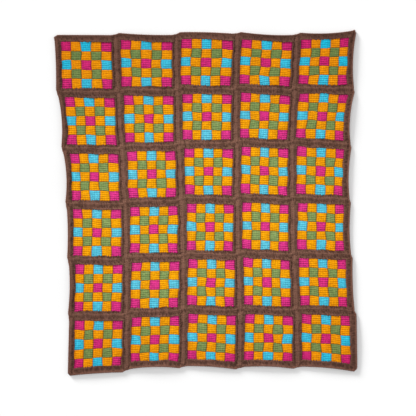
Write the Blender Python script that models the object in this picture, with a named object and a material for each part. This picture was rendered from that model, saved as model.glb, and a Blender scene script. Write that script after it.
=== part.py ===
"""Crocheted patchwork blanket, lying flat.

Thirty squares, five across and six down, are each a check of five by five colour blocks.
Brown edging joins the six squares of a column into a ladder, and one outer round runs
along the whole outline. Metres, +Z up, +Y towards the top row, origin under the middle.
"""

import math

import bmesh
import bpy

MM = 0.001

# Driving sizes, in millimetres
COLUMNS = 5
ROWS = 6
BLOCKS = 5
JOIN_INSET = 16.3         # from a join's middle to the colour blocks
SIDE_INSET = 20.0         # from the left and right outline to the colour blocks
END_INSET = 22.5          # from the top and bottom outline to the colour blocks
ROUND_WIDTH = 5.7         # the outer round of crochet
GAP = 0.3                 # between neighbouring pieces
STAGGER = 8.8             # each square's top edge drops this much from left to right
LEAN = 6.0                # each square leans this much from its top to its foot
BLOCK_EDGE_HEIGHT = 3.8   # where two blocks meet
BLOCK_HEIGHT = 5.2        # middle of a block
GROOVE_HEIGHT = 3.0       # edging, beside the blocks
RIDGE_HEIGHT = 6.0        # edging, on its ridge
JOIN_HEIGHT = 4.8         # edging, where two columns or two squares meet
OUTLINE_HEIGHT = 2.4      # outer round, at its outer edge
RIDGE_PLACE = 0.6         # ridge, as a share of the way from the blocks to the join
RIDGE_CURL = 0.35         # share of the outline's curl on the edging's ridge
SEAM_CURL = 0.7           # the same where the edging meets the outer round
ROUND_CURL = 0.85         # the same on the outer round's ridge
BOW_FADE = 4              # power at which a bowed outline fades towards the inside
BULGE_FADE = 0.035, 0.1   # the outline's bulges fade out between these shares of a square's span

# Where the joins cross, from the middle of the blanket: (x, y) at the left edge,
# at the four joins between columns, and at the right edge
CROSSINGS = (
    ("top edge", (-517, 566), (-308, 574), (-101, 575), (106, 578), (309, 575), (510, 591)),
    ("rows 1 and 2", (-505, 372), (-298, 378), (-97, 384), (101, 388), (301, 385), (506, 390)),
    ("rows 2 and 3", (-488, 180), (-285, 187), (-91, 198), (104, 205), (292, 205), (494, 202)),
    ("rows 3 and 4", (-475, -8), (-274, -2), (-82, 11), (107, 16), (295, 14), (491, 14)),
    ("rows 4 and 5", (-468, -198), (-269, -189), (-77, -178), (111, -173), (298, -174), (496, -173)),
    ("rows 5 and 6", (-466, -387), (-269, -377), (-76, -363), (116, -363), (308, -364), (508, -364)),
    ("bottom edge", (-465, -591), (-269, -570), (-76, -558), (116, -562), (313, -560), (517, -570)),
)

# Stations along one side of a square's edging, as shares of that side, one for each block's corner
STATIONS = (0.0, 0.08, 0.36, 0.64, 0.92, 1.0)
LAST = len(STATIONS) - 1

# How far the outline is drawn in, and how far it curls up off the floor, midway along
# each square: left and right edges from the top row down, top and bottom from the left.
# Between the joins, the edging of each side then bulges out a little all along.
OUTLINE = {
    "left": {
        "drawn_in": (3, 9, 10, 4, 6, 0),
        "lift": (1, 3, 5, 1, 3, 0),
        "bulge": 1,
    },
    "right": {
        "drawn_in": (9, 11, 8, 6, 4, 0),
        "lift": (4, 5, 3, 1, 2, 4),
        "bulge": 3,
    },
    "top": {
        "drawn_in": (0, 4, -3, 6, 8),
        "lift": (1, 4, 0, 4, 3),
        "bulge": 2,
    },
    "bottom": {
        "drawn_in": (3, 9, 5, 7, 6),
        "lift": (2, 5, 3, 4, 3),
        "bulge": 2,
    },
}

# Yarns: sRGB colour and roughness
YARNS = {
    "magenta_yarn": ((0.85, 0.13, 0.48), 0.9),
    "amber_yarn": ((0.96, 0.61, 0.03), 0.9),
    "turquoise_yarn": ((0.18, 0.69, 0.87), 0.9),
    "green_yarn": ((0.45, 0.58, 0.36), 0.9),
    "brown_yarn": ((0.42, 0.28, 0.23), 0.92),
}


def clear_scene():
    for old in list(bpy.data.objects):
        bpy.data.objects.remove(old, do_unlink=True)


def to_linear(channel):
    return channel / 12.92 if channel <= 0.04045 else ((channel + 0.055) / 1.055) ** 2.4


def yarn_material(name):
    colour, roughness = YARNS[name]
    material = bpy.data.materials.new(name)
    material.use_nodes = True
    shader = material.node_tree.nodes["Principled BSDF"]
    shader.inputs["Base Color"].default_value = (*(to_linear(value) for value in colour), 1.0)
    shader.inputs["Roughness"].default_value = roughness
    shader.inputs["Metallic"].default_value = 0.0
    return material


def crossing(line, join):
    return CROSSINGS[line][1 + join]


def between(low, high, share):
    return low + (high - low) * share


def hump(share):
    """0 at both ends of a side and 1 in its middle."""
    return 4 * share * (1 - share)


def bulge(side, along):
    """How far the outline's edging bulges out between the joins, at a share of one square's side."""
    return OUTLINE[side]["bulge"] * min(1.0, along / STATIONS[1], (1 - along) / STATIONS[1])


def drawn_in(side, place, along, inward):
    """How far cloth near the outline is drawn in, at shares of a square's side and of its depth."""
    bow = OUTLINE[side]["drawn_in"][place] * hump(along) * (1 - inward) ** BOW_FADE
    full, gone = BULGE_FADE
    fade = min(1.0, max(0.0, (gone - inward) / (gone - full)))
    return bow - fade * bulge(side, along)


def cloth_point(row, column, across, down, turn=(0, 0)):
    """Point of a square's cloth, at shares of its width and height, as (x, y)."""
    corners = (crossing(row, column), crossing(row, column + 1),
               crossing(row + 1, column), crossing(row + 1, column + 1))
    weights = ((1 - across) * (1 - down), across * (1 - down), (1 - across) * down, across * down)
    x, y = (sum(weight * corner[axis] for weight, corner in zip(weights, corners)) for axis in (0, 1))
    if column == 0:
        x += drawn_in("left", row, down, across)
    if column == COLUMNS - 1:
        x -= drawn_in("right", row, down, 1 - across)
    if row == 0:
        y -= drawn_in("top", column, across, down)
    if row == ROWS - 1:
        y += drawn_in("bottom", column, across, 1 - down)
    return x + turn[0] * LEAN * (0.5 - down), y + turn[1] * STAGGER * (0.5 - across)


def insets(row, column, joins, rungs, sides, ends):
    """How far a frame lies inside a square's left, right, top and bottom lines, in millimetres."""
    return (sides if column == 0 else joins, sides if column == COLUMNS - 1 else joins,
            ends if row == 0 else rungs, ends if row == ROWS - 1 else rungs)


def framed_point(row, column, frame, u, v, turn=(0, 0)):
    """Point at shares u and v of a frame that lies inside a square by its insets."""
    left, right, top, bottom = frame
    width = between(math.dist(crossing(row, column), crossing(row, column + 1)),
                    math.dist(crossing(row + 1, column), crossing(row + 1, column + 1)), v)
    height = between(math.dist(crossing(row, column), crossing(row + 1, column)),
                     math.dist(crossing(row, column + 1), crossing(row + 1, column + 1)), u)
    across = between(left / width, 1 - right / width, u)
    down = between(top / height, 1 - bottom / height, v)
    return cloth_point(row, column, across, down, turn)


def around():
    """Side and station of each point on a frame, clockwise from its top left corner."""
    for side in ("top", "right", "bottom", "left"):
        for index in range(LAST):
            yield side, index if side in ("top", "right") else LAST - index


def on_side(side, share):
    """Shares u and v of a point on one side of a frame."""
    return {"top": (share, 0.0), "bottom": (share, 1.0), "left": (0.0, share), "right": (1.0, share)}[side]


def block_insets(row, column, gap):
    """Insets of the frame along the edge of the colour blocks."""
    joins, sides, ends = (inset + gap for inset in (JOIN_INSET, SIDE_INSET, END_INSET))
    return insets(row, column, joins, joins, sides, ends)


def block_frame(row, column):
    """Points along the edge of the colour blocks, one at each block's corner."""
    frame = block_insets(row, column, 0.0)
    return [framed_point(row, column, frame, *on_side(side, index / BLOCKS), turn=(1, 1))
            for side, index in around()]


def on_rim(row, column, side):
    """Whether a side of a square lies on the blanket's outline."""
    places = {"left": column == 0, "right": column == COLUMNS - 1,
              "top": row == 0, "bottom": row == ROWS - 1}
    return places[side]


def side_point(row, column, side, index, frame):
    """Point of an edging's frame, which turns with its square but for corners and long joins."""
    lean, stagger = 0, 0
    if 0 < index < LAST:
        stagger = 1 if side in ("top", "bottom") else 0
        lean = 1 if side in ("left", "right") and on_rim(row, column, side) else 0
    return framed_point(row, column, frame, *on_side(side, STATIONS[index]), turn=(lean, stagger))


def rim_lift(row, column, side, index):
    """How far the outline's cloth curls up at a station, or 0 at a join."""
    if not on_rim(row, column, side):
        return 0.0
    place = row if side in ("left", "right") else column
    return OUTLINE[side]["lift"][place] * hump(STATIONS[index])


def part_way(first, second, share):
    """Point a share of the way from one point to another."""
    return between(first[0], second[0], share), between(first[1], second[1], share)


def add_loop(mesh, points, heights):
    return [mesh.verts.new((x * MM, y * MM, z * MM)) for (x, y), z in zip(points, heights)]


def band(mesh, first, second, closed=True):
    """A strip of faces between two rows of points."""
    count = len(first)
    for here in range(count if closed else count - 1):
        ahead = (here + 1) % count
        mesh.faces.new((first[here], first[ahead], second[ahead], second[here]))


def finish_piece(mesh, name, materials):
    bmesh.ops.remove_doubles(mesh, verts=mesh.verts, dist=0.01 * MM)
    bmesh.ops.recalc_face_normals(mesh, faces=mesh.faces)
    data = bpy.data.meshes.new(name)
    mesh.to_mesh(data)
    mesh.free()
    for material in materials:
        data.materials.append(material)
    piece = bpy.data.objects.new(name, data)
    bpy.context.scene.collection.objects.link(piece)
    return piece


def block_yarn(across, down):
    """Which yarn a block has, from its steps away from the middle block."""
    middle = BLOCKS // 2
    sideways, upright = abs(across - middle), abs(down - middle)
    steps = sideways + upright
    if steps % 2:
        return 1
    if steps == 2:
        return 3 if sideways == upright else 2
    return 0


def add_square(row, column, materials):
    """One square: a slab with a flat underside and a softly raised block for each colour."""
    frame = block_insets(row, column, GAP)
    mesh = bmesh.new()
    bmesh.ops.create_grid(mesh, x_segments=BLOCKS, y_segments=BLOCKS, size=0.5)
    for face in mesh.faces:
        middle = face.calc_center_median()
        place = [int((middle.x + 0.5) * BLOCKS), int((0.5 - middle.y) * BLOCKS)]
        face.material_index = block_yarn(*place)
    tops = bmesh.ops.poke(mesh, faces=mesh.faces)["verts"]
    raised = set(tops)
    for vertex in mesh.verts:
        x, y = framed_point(row, column, frame, vertex.co.x + 0.5, 0.5 - vertex.co.y, turn=(1, 1))
        height = BLOCK_HEIGHT if vertex in raised else BLOCK_EDGE_HEIGHT
        vertex.co = (x * MM, y * MM, height * MM)
    rim = [edge for edge in mesh.edges if edge.is_boundary]
    foot = bmesh.ops.extrude_edge_only(mesh, edges=rim)["geom"]
    for vertex in (item for item in foot if isinstance(item, bmesh.types.BMVert)):
        vertex.co.z = 0.0
    open_edges = [edge for edge in mesh.edges if edge.is_boundary]
    bmesh.ops.contextual_create(mesh, geom=open_edges)
    return finish_piece(mesh, f"square_r{row + 1}_c{column + 1}", materials)


def add_edging_column(column, material):
    """Edging of one column: six frames in one piece, low beside the blocks, with a ridge."""
    mesh = bmesh.new()
    for row in range(ROWS):
        frame = insets(row, column, GAP / 2, 0.0, ROUND_WIDTH + GAP, ROUND_WIDTH + GAP)
        inner = block_frame(row, column)
        outer = [side_point(row, column, side, index, frame) for side, index in around()]
        ridge = [part_way(*ends, RIDGE_PLACE) for ends in zip(inner, outer)]
        lifts = [rim_lift(row, column, side, index) for side, index in around()]
        inner_top = add_loop(mesh, inner, [GROOVE_HEIGHT] * len(inner))
        ridge_top = add_loop(mesh, ridge, [RIDGE_HEIGHT + lift * RIDGE_CURL for lift in lifts])
        outer_top = add_loop(mesh, outer, [JOIN_HEIGHT + lift * SEAM_CURL for lift in lifts])
        outer_foot = add_loop(mesh, outer, [lift * SEAM_CURL for lift in lifts])
        inner_foot = add_loop(mesh, inner, [0.0] * len(inner))
        band(mesh, inner_top, ridge_top)
        band(mesh, ridge_top, outer_top)
        band(mesh, outer_foot, inner_foot)
        band(mesh, inner_foot, inner_top)
        walls = {"right": range(LAST, 2 * LAST + 1), "left": range(3 * LAST, 4 * LAST + 1)}
        if row == 0:
            walls["top"] = range(LAST + 1)
        if row == ROWS - 1:
            walls["bottom"] = range(2 * LAST, 3 * LAST + 1)
        for places in walls.values():
            tops, feet = ([loop[place % len(loop)] for place in places] for loop in (outer_top, outer_foot))
            band(mesh, tops, feet, closed=False)
    return finish_piece(mesh, f"edging_column_{column + 1}", [material])


def rim_stations():
    """Each station of the outline, clockwise from the top left corner."""
    for column in range(COLUMNS):
        for index in range(LAST):
            yield 0, column, "top", index
    for row in range(ROWS):
        for index in range(LAST):
            yield row, COLUMNS - 1, "right", index
    for column in reversed(range(COLUMNS)):
        for index in reversed(range(1, LAST + 1)):
            yield ROWS - 1, column, "bottom", index
    for row in reversed(range(ROWS)):
        for index in reversed(range(1, LAST + 1)):
            yield row, 0, "left", index


def add_outer_round(material):
    """The outer round: one rounded strip along the whole outline."""
    mesh = bmesh.new()
    # Inset from the outline, height, and share of the curl, from the inner foot over the top
    section = (
        (ROUND_WIDTH, 0.0, SEAM_CURL),
        (ROUND_WIDTH, JOIN_HEIGHT, SEAM_CURL),
        (ROUND_WIDTH / 2, RIDGE_HEIGHT, ROUND_CURL),
        (0.0, OUTLINE_HEIGHT, 1.0),
        (0.0, 0.0, 1.0),
    )
    loops = []
    for inset, height, curl in section:
        points = []
        heights = []
        for row, column, side, index in rim_stations():
            frame = insets(row, column, 0.0, 0.0, inset, inset)
            points.append(side_point(row, column, side, index, frame))
            heights.append(height + curl * rim_lift(row, column, side, index))
        loops.append(add_loop(mesh, points, heights))
    for first, second in zip(loops, loops[1:] + loops[:1]):
        band(mesh, first, second)
    return finish_piece(mesh, "outer_round", [material])


def main():
    clear_scene()
    *yarns, brown = (yarn_material(name) for name in YARNS)
    for row in range(ROWS):
        for column in range(COLUMNS):
            add_square(row, column, yarns)
    for column in range(COLUMNS):
        add_edging_column(column, brown)
    add_outer_round(brown)


main()
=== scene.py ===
"""Looks of the crocheted patchwork blanket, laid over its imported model.

Every square, edging and the outer round is a closed sheet of crochet with its stitches in
relief. The sheets follow the same crossings and outline as the part's solids.
"""

import math

import bmesh
import bpy
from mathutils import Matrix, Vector, noise


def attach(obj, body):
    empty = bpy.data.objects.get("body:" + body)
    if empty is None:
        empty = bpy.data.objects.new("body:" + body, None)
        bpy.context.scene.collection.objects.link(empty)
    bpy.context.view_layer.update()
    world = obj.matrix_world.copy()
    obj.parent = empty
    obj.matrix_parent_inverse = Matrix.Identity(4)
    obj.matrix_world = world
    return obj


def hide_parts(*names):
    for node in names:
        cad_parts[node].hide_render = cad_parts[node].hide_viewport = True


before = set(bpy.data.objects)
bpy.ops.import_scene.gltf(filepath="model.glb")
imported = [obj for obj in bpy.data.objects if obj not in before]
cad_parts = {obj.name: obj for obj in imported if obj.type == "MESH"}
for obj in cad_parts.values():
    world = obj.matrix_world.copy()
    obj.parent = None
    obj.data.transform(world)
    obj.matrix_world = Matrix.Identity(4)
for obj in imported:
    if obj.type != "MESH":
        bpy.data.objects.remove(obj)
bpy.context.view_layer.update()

MM = 0.001

# The part's driving sizes, in millimetres
COLUMNS = 5
ROWS = 6
BLOCKS = 5
JOIN_INSET = 16.3         # from a join's middle to the colour blocks
SIDE_INSET = 20.0         # from the left and right outline to the colour blocks
END_INSET = 22.5          # from the top and bottom outline to the colour blocks
ROUND_WIDTH = 5.7         # the outer round of crochet
OVERLAP = 0.3             # where neighbouring pieces are crocheted together
STAGGER = 8.8             # each square's top edge drops this much from left to right
LEAN = 6.0                # each square leans this much from its top to its foot
BOW_FADE = 4              # power at which a bowed outline fades towards the inside
BULGE_FADE = 0.035, 0.1   # the outline's bulges fade out between these shares of a square's span
BULGE_RISE = 0.08         # share of a square's side over which a bulge rises from a join

# Where the joins cross: (x, y) at the left edge, at the joins between columns, at the right edge
CROSSINGS = (
    ("top edge", (-517, 566), (-308, 574), (-101, 575), (106, 578), (309, 575), (510, 591)),
    ("rows 1 and 2", (-505, 372), (-298, 378), (-97, 384), (101, 388), (301, 385), (506, 390)),
    ("rows 2 and 3", (-488, 180), (-285, 187), (-91, 198), (104, 205), (292, 205), (494, 202)),
    ("rows 3 and 4", (-475, -8), (-274, -2), (-82, 11), (107, 16), (295, 14), (491, 14)),
    ("rows 4 and 5", (-468, -198), (-269, -189), (-77, -178), (111, -173), (298, -174), (496, -173)),
    ("rows 5 and 6", (-466, -387), (-269, -377), (-76, -363), (116, -363), (308, -364), (508, -364)),
    ("bottom edge", (-465, -591), (-269, -570), (-76, -558), (116, -562), (313, -560), (517, -570)),
)

# How far the outline is drawn in, and how far it curls up, midway along each square.
# Between the joins, the edging of each side then bulges out a little all along.
OUTLINE = {
    "left": {
        "drawn_in": (3, 9, 10, 4, 6, 0),
        "lift": (1, 3, 5, 1, 3, 0),
        "bulge": 1,
    },
    "right": {
        "drawn_in": (9, 11, 8, 6, 4, 0),
        "lift": (4, 5, 3, 1, 2, 4),
        "bulge": 3,
    },
    "top": {
        "drawn_in": (0, 4, -3, 6, 8),
        "lift": (1, 4, 0, 4, 3),
        "bulge": 2,
    },
    "bottom": {
        "drawn_in": (3, 9, 5, 7, 6),
        "lift": (2, 5, 3, 4, 3),
        "bulge": 2,
    },
}

# Stitches of a square: 4 to a colour block across, 5 rows to a block down
STITCHES = 20
STITCH_ROWS = 25
BLOCK_STITCHES = STITCHES // BLOCKS
BLOCK_ROWS = STITCH_ROWS // BLOCKS
COARSE = 2                # steps a stitch on the underside; the top has twice as many
EDGING_STEPS = 4          # steps of the underside from the blocks to the join
ROUND_STEPS = 96          # steps of the outer round along each square
STITCH_STEPS = 4          # of these make a stitch
ROUND_SECTION = 8         # faces round the outer round's section

# Heights, in millimetres
SQUARE_FLOOR = 3.3        # bottom of the hollows between the stitches
STITCH_RELIEF = 1.15
BLOCK_CROWN = 0.7         # each colour block is this much higher in its middle
GROOVE = 2.9              # edging, in the channel beside the blocks
RIDGE = 5.3               # edging, on its ridge
JOIN = 4.5                # edging, in the seam between two columns or two squares
EDGING_RELIEF = 1.2
ROUND_TOP = 5.4
UNDER_RELIEF = 0.7
UNEVEN = 0.6              # slow waves of hand-made cloth
WELD = 0.01               # points nearer than this are one

# Hand-made stitches stray sideways, and meet unevenly where two blocks do, in millimetres
STRAY = 3.5
BLOCK_TEETH = 1.8

# Wavelengths of the noise that makes the work uneven, in millimetres, and its planes
STRAY_WAVE = 38
SLOW_WAVE = 60
QUICK_WAVE = 17
CHANNEL_WAVE = 22
STRAY_PLANES = 20.0, 30.0
SLOW_PLANE = 0.0
QUICK_PLANE = 4.0
CHANNEL_PLANE = 9.0
QUICK_SHARE = 0.5         # the quick waves' height, as a share of the slow ones'

# Where a square's end stitches meet the brown: how far they lie down or to the right of the even
# line, inside the blanket and beside its outline, how far single stitches reach past one another,
# both in millimetres, and how much painted shade lies on them there. TRIM is how far the outer round is drawn
# in.
REACH = {"top": -0.1, "bottom": 2.3, "left": -1.0, "right": 2.6}
RIM_REACH = {"top": -0.1, "bottom": -2.0, "left": 0.3, "right": -1.0}
TEETH = {"top": 3.0, "bottom": 4.0, "left": 1.3, "right": 2.0}
EDGE_DARK = {"top": 0.35, "bottom": 0.35, "left": 0.5, "right": 0.25}
TRIM = {"top": 0.2, "bottom": 1.6, "left": 0.3, "right": 1.2}
TOOTH_FADE = 0.5          # share of the edging over which its stitches give way to those teeth
TOOTH_LOOSE = 0.3, 1.4    # a tooth's least length, and what a loose stitch adds, as shares
TOOTH_MIDDLE = 0.6        # height of a bead at which its tooth meets the even line
BLOCK_LOOSE = 0.4, 0.8    # the same two shares between blocks
BLOCK_MIDDLE = 0.5        # the same height between blocks
SEAM_WIDTH = 3.0          # the higher, the narrower the line where the yarn changes colour
SEAM_DROP = 0.5           # how far that line is pulled down, in millimetres
ROW_SEAM = 0.8            # its strength below a row, as a share of that beside a stitch
LEE = 0.3                 # share of a block, past a seam, that lies away from the light

# A square's stitches: powers that round off their ribs, stitches and blocks (the lower, the fuller),
# and how much painted shade their parts get, from 0 for the yarn's own colour to 1 for the shade colour
RIB_ROUND = 0.7
STITCH_ROUND = 0.5
CROWN_ROUND = 0.6
STITCH_WAIST = 0.55       # a rib's height between two stitches, as a share
LEAST_DARK = 0.08
RIB_DARK = 0.62
UNEVEN_GAP_DARK = 0.3
SEAM_DARK = 0.9
LEE_DARK = 0.5

# The channel in each side's edging: where its middle lies on the way from the blocks to the join
# or to the outer round, its reach on both sides of that, its depth, and how much painted shade lies in it, as
# shares
CHANNEL = {
    "top": {"middle": 0.5, "reach": 0.9, "depth": 0.45, "dark": 0.45},
    "bottom": {"middle": 0.4, "reach": 0.7, "depth": 0.3, "dark": 0.35},
    "left": {"middle": 0.25, "reach": 0.5, "depth": 0.6, "dark": 0.3},
    "right": {"middle": 0.5, "reach": 0.5, "depth": 0.9, "dark": 0.5},
}
RIM_CHANNEL = {
    "top": {"middle": 0.5, "reach": 0.9, "depth": 0.6, "dark": 0.2},
    "bottom": {"middle": 0.55, "reach": 0.7, "depth": 0.8, "dark": 0.55},
    "left": {"middle": 0.25, "reach": 0.5, "depth": 0.8, "dark": 0.6},
    "right": {"middle": 0.65, "reach": 0.8, "depth": 0.9, "dark": 0.55},
}

# The edging: its channel strays sideways, its chained stitches slant away from the ridge, and its
# painted shade lies in the channel, in gaps between stitches, at the joins and at loose places
CHANNEL_STRAY = 0.12
JOIN_SEAM = 0.85, 0.15    # where the dip at a join starts, and how wide it is, as shares
RIDGE_PLACE = 0.625
CHAIN_ROUND = 0.6
POST_ROUND = 0.8
CHAIN_LEVEL = 0.7         # height of a chain's bead that lies on the even ridge
CHAIN_DARK = 0.25, 0.65   # how much painted shade lies in each gap in a chain, and what a more shaded one adds
LEAST_STRAY = 0.1         # painted shade starts where the edging strays further than this
STRAY_DARK = 0.4
JOIN_DARK = 0.1
UNDER_DARK = 0.2, 0.6     # the underside's least painted shade, and what a hollow adds

# The outer round: how much its stitches slant and swell, and how much painted shade lies between them
ROUND_SLANT = 0.3
ROUND_SWELL = 0.3
ROUND_DARK = 0.45

FLOOR_SIZE = 6.0          # metres
FLOOR_DROP = 0.3          # the floor lies this far under the cloth, in millimetres

# How far the blanket's corners are rounded off, in millimetres, by (row, column) of the square
CORNERS = {(0, 0): 1.0, (0, COLUMNS - 1): 0.5, (ROWS - 1, 0): 4.0, (ROWS - 1, COLUMNS - 1): 4.0}
CORNER_REACH = 12.0

# Painted light on the yarn: paler in a pool from an oval spot just below the blanket's middle, fading out to
# its
# corners: what turns metres into the spot's radii, its shift, and the radii between which the colour changes
LIT_POOL_SCALE = 1.66, 1.97, 0.0
LIT_POOL_SHIFT = 0.03, 0.06, 0.0
LIT_POOL_SPAN = 0.5, 1.34

# Light: the strength of daylight from all round, and for each soft light where it comes from, its
# strength and how wide it is, in degrees
DAYLIGHT = 0.78
SOFT_LIGHTS = {
    "window_light": ((-0.9, 1.1, 0.31), 5.8, 13),
    "fill_light": ((1.0, 0.1, 0.27), 0.7, 26),
}

# The photograph: what one pixel shows, how many it has, and the place at its middle, in millimetres
PIXEL = 3.4
PIXELS = 416
VIEW_MIDDLE = 8.3, -16.3


def crossing(line, join):
    return CROSSINGS[line][1 + join]


def between(low, high, share):
    return low + (high - low) * share


def hump(share):
    """0 at both ends of a side and 1 in its middle."""
    return 4 * share * (1 - share)


def soft_step(share):
    """Rises softly from 0 to 1."""
    share = min(max(share, 0.0), 1.0)
    return share * share * (3 - 2 * share)


def bead(turns, power):
    """A row of rounded beads: 0 at each whole number and 1 halfway."""
    return abs(math.sin(math.pi * turns)) ** power


def wave(x, y, length, plane):
    """Smooth noise of about one wavelength, different in each plane."""
    return noise.noise(Vector((x / length, y / length, plane)))


def span(row, column, across, down):
    """Width and height of a square at a place in it, joins included."""
    width = between(math.dist(crossing(row, column), crossing(row, column + 1)),
                    math.dist(crossing(row + 1, column), crossing(row + 1, column + 1)), down)
    height = between(math.dist(crossing(row, column), crossing(row + 1, column)),
                     math.dist(crossing(row, column + 1), crossing(row + 1, column + 1)), across)
    return width, height


def cloth(row, column, across, down):
    """The blanket's cloth at shares of a square's width and height, as (x, y, curl)."""
    corners = (crossing(row, column), crossing(row, column + 1),
               crossing(row + 1, column), crossing(row + 1, column + 1))
    weights = ((1 - across) * (1 - down), across * (1 - down), (1 - across) * down, across * down)
    x, y = (sum(weight * corner[axis] for weight, corner in zip(weights, corners)) for axis in (0, 1))
    width, height = span(row, column, across, down)
    curl = 0.0
    inside = SIDE_INSET
    if column == 0:
        x += drawn_in("left", row, down, across)
        curl += rim_curl("left", row, down, across * width / SIDE_INSET)
        inside = min(inside, across * width)
    if column == COLUMNS - 1:
        x -= drawn_in("right", row, down, 1 - across)
        curl += rim_curl("right", row, down, (1 - across) * width / SIDE_INSET)
        inside = min(inside, (1 - across) * width)
    if row == 0:
        y -= drawn_in("top", column, across, down)
        curl += rim_curl("top", column, across, down * height / END_INSET)
        inside = min(inside, down * height)
    if row == ROWS - 1:
        y += drawn_in("bottom", column, across, 1 - down)
        curl += rim_curl("bottom", column, across, (1 - down) * height / END_INSET)
        inside = min(inside, (1 - down) * height)
    # A square turns within its edging, and the turn fades out towards its joins
    from_left, from_right = (soft_step(share * width / JOIN_INSET) for share in (across, 1 - across))
    from_ends = soft_step(down * height / JOIN_INSET) * soft_step((1 - down) * height / JOIN_INSET)
    lean = from_ends * (1 if column == 0 else from_left) * (1 if column == COLUMNS - 1 else from_right)
    x += LEAN * lean * (0.5 - down)
    y += STAGGER * from_left * from_right * (0.5 - across)
    if (row, column) in CORNERS:
        beside = (1 - across if column else across) * width / CORNER_REACH
        above = (1 - down if row else down) * height / CORNER_REACH
        pull = CORNERS[row, column] * max(0.0, 1 - beside) * max(0.0, 1 - above)
        x += -pull if column else pull
        y += pull if row else -pull
    stray = STRAY * inside / SIDE_INSET
    right, up = (stray * wave(x, y, STRAY_WAVE, plane) for plane in STRAY_PLANES)
    return x + right, y + up, curl


def bulge(side, along):
    """How far the outline's edging bulges out between the joins, at a share of one square's side."""
    return OUTLINE[side]["bulge"] * soft_step(along / BULGE_RISE) * soft_step((1 - along) / BULGE_RISE)


def drawn_in(side, place, along, inward):
    """How far cloth near the outline is drawn in, at shares of a square's side and of its depth."""
    bow = OUTLINE[side]["drawn_in"][place] * hump(along) * (1 - inward) ** BOW_FADE
    full, gone = BULGE_FADE
    return bow - soft_step((gone - inward) / (gone - full)) * bulge(side, along)


def rim_curl(side, place, along, inward):
    """How far the outline's cloth curls up: most at the outline, none at the blocks."""
    return OUTLINE[side]["lift"][place] * hump(along) * max(0.0, 1 - inward)


def unevenness(x, y):
    """Slow waves that the cloth lies in."""
    slow, quick = wave(x, y, SLOW_WAVE, SLOW_PLANE), wave(x, y, QUICK_WAVE, QUICK_PLANE)
    return UNEVEN * (slow + QUICK_SHARE * quick)


def block_insets(row, column, overlap=0.0):
    """How far the colour blocks lie inside a square's left, right, top and bottom lines."""
    return ((SIDE_INSET if column == 0 else JOIN_INSET) - overlap,
            (SIDE_INSET if column == COLUMNS - 1 else JOIN_INSET) - overlap,
            (END_INSET if row == 0 else JOIN_INSET) - overlap,
            (END_INSET if row == ROWS - 1 else JOIN_INSET) - overlap)


def outer_insets(row, column):
    """How far the edging's outer edge lies inside the same lines."""
    seam = ROUND_WIDTH - OVERLAP
    join = -OVERLAP / 2
    return (seam if column == 0 else join, seam if column == COLUMNS - 1 else join,
            seam if row == 0 else 0.0, seam if row == ROWS - 1 else 0.0)


def in_frame(row, column, frame_insets, u, v):
    """Shares of a square's width and height at shares u and v of a frame inside it."""
    left, right, top, bottom = frame_insets
    width, height = span(row, column, u, v)
    return between(left / width, 1 - right / width, u), between(top / height, 1 - bottom / height, v)


def on_rim(row, column, side):
    """Whether a side of a square lies along the blanket's outline."""
    return {"left": column == 0, "right": column == COLUMNS - 1, "top": row == 0,
            "bottom": row == ROWS - 1}[side]


def stitch_at(along):
    """Number of the stitch at a place, which on the line between two is the later one."""
    return int(along + 0.01)


def from_sides(u, v):
    """Each side of a square's blocks, how many stitches inside it a place lies, and its stitch along it."""
    stitch, line = u * STITCHES, v * STITCH_ROWS
    return (("left", stitch, line), ("right", STITCHES - stitch, line),
            ("top", line, stitch), ("bottom", STITCH_ROWS - line, stitch))


def teeth(row, column, u, v, out):
    """How far a square's end stitches reach into the brown, or the brown's into it, as (right, down)."""
    right, down = 0.0, 0.0
    shortest, looser = TOOTH_LOOSE
    if out >= TOOTH_FADE:
        return right, down
    for side, inward, along in from_sides(u, v):
        if inward >= 1:
            continue
        # Each square draws its own numbers, in a row of cells well away from the others'
        loose = noise.cell(Vector((stitch_at(along), 50 * row + column, TEETH[side])))
        reach = (RIM_REACH if on_rim(row, column, side) else REACH)[side]
        tooth = reach + TEETH[side] * (shortest + looser * loose) * (bead(along, 1.0) - TOOTH_MIDDLE)
        tooth *= (1 - inward) * (1 - out / TOOTH_FADE)
        if side in ("left", "right"):
            right += tooth
        else:
            down += tooth
    return right, down


def block_teeth(u, v, seed):
    """How unevenly stitches meet between a square's blocks, as (right, down)."""
    stitch, line = u * STITCHES, v * STITCH_ROWS
    shortest, looser = BLOCK_LOOSE
    moves = []
    for across, along, count in ((stitch, line, BLOCK_STITCHES), (line, stitch, BLOCK_ROWS)):
        nearest = min(max(round(across / count), 1), BLOCKS - 1) * count
        loose = noise.cell(Vector((stitch_at(along), nearest, seed + count)))
        fade = max(0.0, 1 - abs(across - nearest))
        moves.append(BLOCK_TEETH * fade * (shortest + looser * loose) * (bead(along, 1.0) - BLOCK_MIDDLE))
    return moves


def block_yarn(across, down):
    """Which yarn a block has, from its steps away from the middle block."""
    sideways, upright = abs(across - BLOCKS // 2), abs(down - BLOCKS // 2)
    steps = sideways + upright
    if steps % 2:
        return 1
    if steps == 2:
        return 3 if sideways == upright else 2
    return 0


def flat_grid(across, down):
    """A flat grid of faces one unit wide, its first corner at the origin."""
    mesh = bmesh.new()
    bmesh.ops.create_grid(mesh, x_segments=across, y_segments=down, size=0.5)
    for vertex in mesh.verts:
        vertex.co.x = round((vertex.co.x + 0.5) * across)
        vertex.co.y = round((vertex.co.y + 0.5) * down)
    return mesh


def close_sheet(mesh):
    """Gives a flat grid an underside at z = 0, walls, and a finer top at z = 1."""
    made = bmesh.ops.extrude_face_region(mesh, geom=mesh.faces[:])["geom"]
    for vertex in (item for item in made if isinstance(item, bmesh.types.BMVert)):
        vertex.co.z = 1.0
    tops = [edge for edge in mesh.edges if all(vertex.co.z > 0.5 for vertex in edge.verts)]
    bmesh.ops.subdivide_edges(mesh, edges=tops, cuts=1, use_grid_fill=True)


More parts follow.
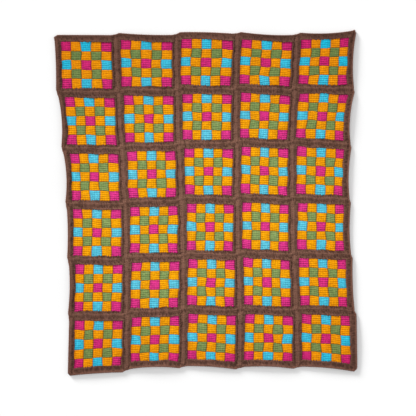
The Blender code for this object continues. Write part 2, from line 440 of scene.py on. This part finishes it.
def finish_piece(mesh, name, place, yarns):
    """Lays a sheet's points where they belong, and makes it a piece that stands for its node."""
    hollow = mesh.verts.layers.float.new("hollow")
    for vertex in mesh.verts:
        x, y, z, depth = place(vertex.co.x, vertex.co.y, vertex.co.z)
        vertex.co = Vector((x, y, z)) * MM
        vertex[hollow] = depth
    bmesh.ops.remove_doubles(mesh, verts=mesh.verts, dist=WELD * MM)
    bmesh.ops.recalc_face_normals(mesh, faces=mesh.faces)
    data = bpy.data.meshes.new(name)
    mesh.to_mesh(data)
    mesh.free()
    data.shade_smooth()
    for yarn in yarns:
        data.materials.append(yarn)
    piece = bpy.data.objects.new(name, data)
    bpy.context.scene.collection.objects.link(piece)
    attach(piece, "root")
    return piece


def square_height(u, v, seed):
    """Height of a square's top at shares of its blocks, and how much painted shade it gets there."""
    stitch, line = u * STITCHES, v * STITCH_ROWS
    rib = bead(line, RIB_ROUND)
    pillow = STITCH_WAIST + (1 - STITCH_WAIST) * bead(stitch, STITCH_ROUND)
    crown = bead(u * BLOCKS, CROWN_ROUND) * bead(v * BLOCKS, CROWN_ROUND)
    # Where the yarn changes colour, beside a stitch or below a row, it is pulled down a little
    seam = max(0.0, 1 - SEAM_WIDTH * bead(u * BLOCKS, 1.0), ROW_SEAM - SEAM_WIDTH * bead(v * BLOCKS, 1.0))
    height = SQUARE_FLOOR + STITCH_RELIEF * rib * pillow + BLOCK_CROWN * crown - SEAM_DROP * seam
    # Painted shade: in the seams where the yarn changes colour, deeper in the gaps at some stitches than at
    # others, and on stitches right of a seam, which lie away from the light
    uneven_gap_shade = noise.cell(Vector((stitch_at(stitch), int(line + 0.5), seed)))
    lee = max(0.0, LEE - u * BLOCKS % 1)
    dark = LEAST_DARK + (1 - rib * pillow) * (RIB_DARK + UNEVEN_GAP_DARK * uneven_gap_shade)
    dark = dark + SEAM_DARK * seam + LEE_DARK * lee
    # Painted shade on the end of each stitch at the brown, most where two stitches meet
    dark += max(EDGE_DARK[side] * max(0.0, 1 - inward) * (1.5 - bead(along, 1.0))
                for side, inward, along in from_sides(u, v))
    return height, min(1.0, dark)


def add_square(row, column, yarns):
    across, down = STITCHES * COARSE, STITCH_ROWS * COARSE
    mesh = flat_grid(across, down)
    close_sheet(mesh)
    stitches = mesh.loops.layers.uv.new("stitches")
    for face in mesh.faces:
        middle = face.calc_center_median() / COARSE
        face.material_index = block_yarn(int(middle.x / BLOCK_STITCHES), int(middle.y / BLOCK_ROWS))
        for loop in face.loops:
            loop[stitches].uv = (loop.vert.co.x / COARSE, loop.vert.co.y / COARSE)
    insets = block_insets(row, column, OVERLAP)

    def place(x, y, z):
        u, v = x / across, y / down
        here_x, here_y, curl = cloth(row, column, *in_frame(row, column, insets, u, v))
        right, foot = (end + seam for end, seam in zip(teeth(row, column, u, v, 0.0),
                                                       block_teeth(u, v, row * COLUMNS + column)))
        if z > 0.5:
            height, depth = square_height(u, v, row * COLUMNS + column)
            height += unevenness(here_x, here_y)
        else:
            # The underside: hollows between its stitches, with painted shade in them
            rib = bead(v * STITCH_ROWS, 1.0) * bead(u * STITCHES, 1.0)
            height, depth = UNDER_RELIEF * (1 - rib), 1 - rib
        return here_x + right, here_y - foot, height + curl, depth

    name = f"square_r{row + 1}_c{column + 1}"
    piece = finish_piece(mesh, f"crochet_{name}", place, yarns)
    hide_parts(name)


def edging_place(place, window, near, far, length):
    """Share of a square's span at a grid place, with the share of the window and of the edging."""
    total = window + 2 * EDGING_STEPS
    if place < EDGING_STEPS:
        out = 1 - place / EDGING_STEPS
        return between(near[1], near[0], out) / length, 0.0, out
    if place > total - EDGING_STEPS:
        out = 1 - (total - place) / EDGING_STEPS
        return 1 - between(far[1], far[0], out) / length, 1.0, out
    share = (place - EDGING_STEPS) / window
    return between(near[1] / length, 1 - far[1] / length, share), share, 0.0


def edging_height(out, along, side, rim, x, y):
    """Height of the edging's top, from its side's channel, its ridge and its chained stitches, and its
    painted shade.
    """
    channel = (RIM_CHANNEL if rim else CHANNEL)[side]
    stray = wave(x, y, CHANNEL_WAVE, CHANNEL_PLANE)
    low = 1 - soft_step(abs(out - channel["middle"] - CHANNEL_STRAY * stray) / channel["reach"])
    height = between(RIDGE, GROOVE, low * channel["depth"])
    seam_start, seam_width = JOIN_SEAM
    seam = 0.0 if rim else soft_step((out - seam_start) / seam_width)
    height -= (RIDGE - JOIN) * seam * (0.5 + stray)
    # On the ridge slanted legs make a chain, and in the channel they stand upright
    chain = bead(along / 2 + 2 * abs(out - RIDGE_PLACE), CHAIN_ROUND)
    post = bead(along, POST_ROUND)
    height += EDGING_RELIEF * between(chain - CHAIN_LEVEL, post - 1, low)
    # How much painted shade each gap between stitches gets, drawn anew for each stretch of the slow waves
    gap_shade = noise.cell(Vector((int(along), int(3 * out), int(x / SLOW_WAVE) + 7 * int(y / SLOW_WAVE))))
    least_gap_shade, more_gap_shade = CHAIN_DARK
    dark = low * channel["dark"] + between((1 - chain) * (least_gap_shade + more_gap_shade * gap_shade), (1 - post) * gap_shade, low)
    return height, min(1.0, dark + JOIN_DARK * seam + STRAY_DARK * max(0.0, stray - LEAST_STRAY))


def add_edging_column(column, yarn):
    window_across, window_down = STITCHES * COARSE, STITCH_ROWS * COARSE
    total_across, total_down = window_across + 2 * EDGING_STEPS, window_down + 2 * EDGING_STEPS
    mesh = flat_grid(total_across, total_down * ROWS)
    windows = [face for face in mesh.faces
               if abs(face.calc_center_median().x - total_across / 2) < window_across / 2
               and abs(face.calc_center_median().y % total_down - total_down / 2) < window_down / 2]
    bmesh.ops.delete(mesh, geom=windows, context="FACES")
    close_sheet(mesh)

    def read(x, y, row):
        """Where a grid place lies in a square: its shares, its window's shares, side and stitches."""
        left, right, top, bottom = zip(outer_insets(row, column), block_insets(row, column))
        width, height = span(row, column, 0.5, 0.5)
        _, u, aside = edging_place(x, window_across, left, right, width)
        _, v, ahead = edging_place(y, window_down, top, bottom, height)
        width, height = span(row, column, u, v)
        across, _, _ = edging_place(x, window_across, left, right, width)
        down, _, _ = edging_place(y, window_down, top, bottom, height)
        if aside >= ahead:
            side, along = ("left" if u < 0.5 else "right"), y
        else:
            side, along = ("top" if v < 0.5 else "bottom"), x
        return across, down, u, v, max(aside, ahead), side, along

    stitches = mesh.loops.layers.uv.new("stitches")
    for face in mesh.faces:
        row = min(int(face.calc_center_median().y / total_down), ROWS - 1)
        for loop in face.loops:
            _, _, _, _, out, _, along = read(loop.vert.co.x, loop.vert.co.y - row * total_down, row)
            loop[stitches].uv = (along / 2, 2 * out)

    def place(x, y, z):
        row = min(int(y / total_down), ROWS - 1)
        across, down, u, v, out, side, along = read(x, y - row * total_down, row)
        here_x, here_y, curl = cloth(row, column, across, down)
        right, foot = teeth(row, column, u, v, out)
        if z > 0.5:
            rim = on_rim(row, column, side)
            height, depth = edging_height(out, along, side, rim, here_x, here_y)
            height += unevenness(here_x, here_y)
        else:
            # The underside: hollows between its stitches, with painted shade in them
            hollow = 1 - bead(along / 2, 1.0)
            height, depth = UNDER_RELIEF * hollow, UNDER_DARK[0] + UNDER_DARK[1] * hollow
        return here_x + right, here_y - foot, height + curl, depth

    name = f"edging_column_{column + 1}"
    piece = finish_piece(mesh, f"crochet_{name}", place, [yarn])
    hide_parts(name)


def rim_sides():
    """Each square's side on the outline, clockwise from the top left corner."""
    for column in range(COLUMNS):
        yield 0, column, "top"
    for row in range(ROWS):
        yield row, COLUMNS - 1, "right"
    for column in reversed(range(COLUMNS)):
        yield ROWS - 1, column, "bottom"
    for row in reversed(range(ROWS)):
        yield row, 0, "left"


def add_outer_round(yarn):
    """The outer round: a chain of stitches along the whole outline."""
    sides = list(rim_sides())
    steps = len(sides) * ROUND_STEPS
    mesh = flat_grid(steps, ROUND_SECTION)
    stitches = mesh.loops.layers.uv.new("stitches")
    for face in mesh.faces:
        for loop in face.loops:
            loop[stitches].uv = (loop.vert.co.x / STITCH_STEPS, loop.vert.co.y / ROUND_SECTION * 2)

    def place(x, y, z):
        row, column, side = sides[int(x / ROUND_STEPS) % len(sides)]
        share = x / ROUND_STEPS % 1
        u, v = {"top": (share, 0.0), "right": (1.0, share),
                "bottom": (1 - share, 1.0), "left": (0.0, 1 - share)}[side]
        # The section starts at the inner foot and goes over the top to the outline
        turn = y / ROUND_SECTION * 2 * math.pi
        chain = bead(x / STITCH_STEPS + ROUND_SLANT * math.sin(turn), CHAIN_ROUND)
        swell = 1 - ROUND_SWELL * (1 - chain)
        inset = ROUND_WIDTH / 2 * (1 + swell * math.cos(turn))
        height = ROUND_TOP / 2 * (1 + swell * math.sin(turn))
        rim = [inset + TRIM[rim_side] if on_rim(row, column, rim_side) else 0.0
               for rim_side in ("left", "right", "top", "bottom")]
        here_x, here_y, curl = cloth(row, column, *in_frame(row, column, rim, u, v))
        # Painted shade between the round's stitches
        return here_x, here_y, height + curl, ROUND_DARK * (1 - chain)

    piece = finish_piece(mesh, "crochet_outer_round", place, [yarn])
    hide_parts("outer_round")


def linear(hex_colour):
    """sRGB hex to linear colour."""
    channels = [int(hex_colour[at:at + 2], 16) / 255 for at in (1, 3, 5)]
    return (*(c / 12.92 if c <= 0.04045 else ((c + 0.055) / 1.055) ** 2.4 for c in channels), 1.0)


def add_node(tree, kind, inputs, **settings):
    """Adds a node with its settings; an input is a value or another node's output."""
    made = tree.nodes.new(kind)
    for name, value in settings.items():
        setattr(made, name, value)
    for name, value in inputs.items():
        if isinstance(value, bpy.types.NodeSocket):
            tree.links.new(value, made.inputs[name])
        else:
            made.inputs[name].default_value = value
    return made


def worsted_yarn(name, outline_colour, painted_light_colour, shade):
    """Worsted-weight acrylic yarn, spun from soft plies: matt and slightly fuzzy, dark between stitches.

    outline_colour is its colour near the outline, painted_light_colour the paler one painted nearer the
    middle as a pool of light, shade the colour of the painted shade in the hollows.
    """
    yarn = bpy.data.materials.new(name)
    yarn.use_nodes = True
    tree = yarn.node_tree
    shader = tree.nodes["Principled BSDF"]
    stitches = add_node(tree, "ShaderNodeUVMap", {}, uv_map="stitches").outputs["UV"]
    body = add_node(tree, "ShaderNodeTexCoord", {}).outputs["Object"]
    hollow = add_node(tree, "ShaderNodeAttribute", {}, attribute_name="hollow").outputs["Fac"]

    # Painted light: paler in a pool around a spot just below the blanket's middle, and full-coloured towards
    # its outline
    spread = add_node(tree, "ShaderNodeVectorMath", {0: body, 1: LIT_POOL_SCALE, 2: LIT_POOL_SHIFT},
                      operation="MULTIPLY_ADD")
    radius = add_node(tree, "ShaderNodeVectorMath", {0: spread.outputs["Vector"]}, operation="LENGTH")
    outward = add_node(tree, "ShaderNodeMapRange",
                       {"Value": radius.outputs["Value"], "From Min": LIT_POOL_SPAN[0],
                        "From Max": LIT_POOL_SPAN[1]})
    painted_light_pool = add_node(tree, "ShaderNodeMix", {"Factor": outward.outputs["Result"], 6: linear(painted_light_colour),
                                             7: linear(outline_colour)}, data_type="RGBA")

    # Each stitch takes the dye a little differently
    cell = add_node(tree, "ShaderNodeVectorMath", {0: stitches}, operation="FLOOR")
    lot = add_node(tree, "ShaderNodeTexWhiteNoise", {"Vector": cell.outputs["Vector"]}, noise_dimensions="2D")
    lightness = add_node(tree, "ShaderNodeMapRange", {"Value": lot.outputs["Value"], "To Min": 0.91,
                                                      "To Max": 1.07})
    dyed = add_node(tree, "ShaderNodeHueSaturation", {"Color": painted_light_pool.outputs[2],
                                                      "Value": lightness.outputs["Result"]})

    # Plies: 4 turns of twist to a stitch of 8 mm, coarser than real so that they show
    plies = add_node(tree, "ShaderNodeTexWave", {"Vector": stitches, "Scale": 2.5, "Distortion": 1.5,
                                                 "Detail": 1.0}, bands_direction="DIAGONAL")
    # Fuzz: fibres about 2 mm apart, coarser than real so that they show
    fuzz = add_node(tree, "ShaderNodeTexNoise", {"Vector": body, "Scale": 500.0, "Detail": 3.0})
    grain = add_node(tree, "ShaderNodeMath", {0: plies.outputs["Fac"], 1: fuzz.outputs["Fac"]},
                     operation="ADD")
    # Painted shade: the hollow attribute mixes the yarn towards its shade colour
    depth = add_node(tree, "ShaderNodeMapRange", {"Value": hollow, "To Max": 0.85})
    shaded = add_node(tree, "ShaderNodeMix", {"Factor": depth.outputs["Result"], 6: dyed.outputs["Color"],
                                              7: linear(shade)}, data_type="RGBA")
    speck = add_node(tree, "ShaderNodeMapRange", {"Value": grain.outputs["Value"], "From Min": 0.4,
                                                  "From Max": 1.6, "To Min": 0.82, "To Max": 1.12})
    colour = add_node(tree, "ShaderNodeHueSaturation", {"Color": shaded.outputs[2],
                                                        "Value": speck.outputs["Result"]})
    bump = add_node(tree, "ShaderNodeBump", {"Height": grain.outputs["Value"], "Strength": 0.5,
                                             "Distance": 0.4 * MM})
    tree.links.new(colour.outputs["Color"], shader.inputs["Base Color"])
    tree.links.new(bump.outputs["Normal"], shader.inputs["Normal"])
    shader.inputs["Roughness"].default_value = 0.9
    shader.inputs["Specular IOR Level"].default_value = 0.04
    shader.inputs["Sheen Weight"].default_value = 0.03
    shader.inputs["Sheen Roughness"].default_value = 0.6
    return yarn


def add_floor():
    """A plain studio floor in matt white paint, which looks even and has no shine."""
    mesh = bmesh.new()
    bmesh.ops.create_grid(mesh, x_segments=1, y_segments=1, size=FLOOR_SIZE)
    data = bpy.data.meshes.new("floor")
    for vertex in mesh.verts:
        vertex.co.z = -FLOOR_DROP * MM
    mesh.to_mesh(data)
    mesh.free()
    paint = bpy.data.materials.new("matt_white_paint")
    paint.use_nodes = True
    shader = paint.node_tree.nodes["Principled BSDF"]
    shader.inputs["Base Color"].default_value = linear("#E9E9E9")
    shader.inputs["Roughness"].default_value = 0.95
    data.materials.append(paint)
    ground = bpy.data.objects.new("floor", data)
    bpy.context.scene.collection.objects.link(ground)
    return ground


def add_sun(name, towards, energy, softness):
    light = bpy.data.lights.new(name, "SUN")
    light.energy = energy
    light.angle = math.radians(softness)
    lamp = bpy.data.objects.new(name, light)
    lamp.rotation_euler = Vector(towards).to_track_quat("Z", "Y").to_euler()
    bpy.context.scene.collection.objects.link(lamp)


def add_light():
    """Soft daylight from all round, a low soft light from the top left and a weak one from the right."""
    world = bpy.data.worlds.new("studio")
    world.use_nodes = True
    world.node_tree.nodes["Background"].inputs["Color"].default_value = (1.0, 1.0, 1.0, 1.0)
    world.node_tree.nodes["Background"].inputs["Strength"].default_value = DAYLIGHT
    bpy.context.scene.world = world
    for name, (towards, energy, softness) in SOFT_LIGHTS.items():
        add_sun(name, towards, energy, softness)
    bpy.context.scene.view_settings.view_transform = "Standard"


def add_camera():
    """Straight above, as the photograph was taken."""
    middle = (place * MM for place in VIEW_MIDDLE)
    camera = bpy.data.cameras.new("camera")
    camera.lens = 85.0
    camera.sensor_width = 36.0
    camera.clip_end = 50.0
    holder = bpy.data.objects.new("camera", camera)
    holder.location = (*middle, PIXELS * PIXEL * MM * camera.lens / camera.sensor_width)
    holder.rotation_euler = (0.0, 0.0, 0.0)
    bpy.context.scene.collection.objects.link(holder)
    bpy.context.scene.camera = holder


floor = add_floor()
add_light()
add_camera()

square_yarns = [
    worsted_yarn("magenta_worsted_yarn", "#D2236E", "#F03E96", "#560A30"),
    worsted_yarn("amber_worsted_yarn", "#E89000", "#FCB000", "#A85400"),
    worsted_yarn("turquoise_worsted_yarn", "#18BCDC", "#6CD4EA", "#187694"),
    worsted_yarn("green_worsted_yarn", "#74864A", "#94AA66", "#284222"),
]
brown_yarn = worsted_yarn("brown_worsted_yarn", "#69473B", "#7E594A", "#281610")

for row in range(ROWS):
    for column in range(COLUMNS):
        add_square(row, column, square_yarns)
for column in range(COLUMNS):
    add_edging_column(column, brown_yarn)
add_outer_round(brown_yarn)
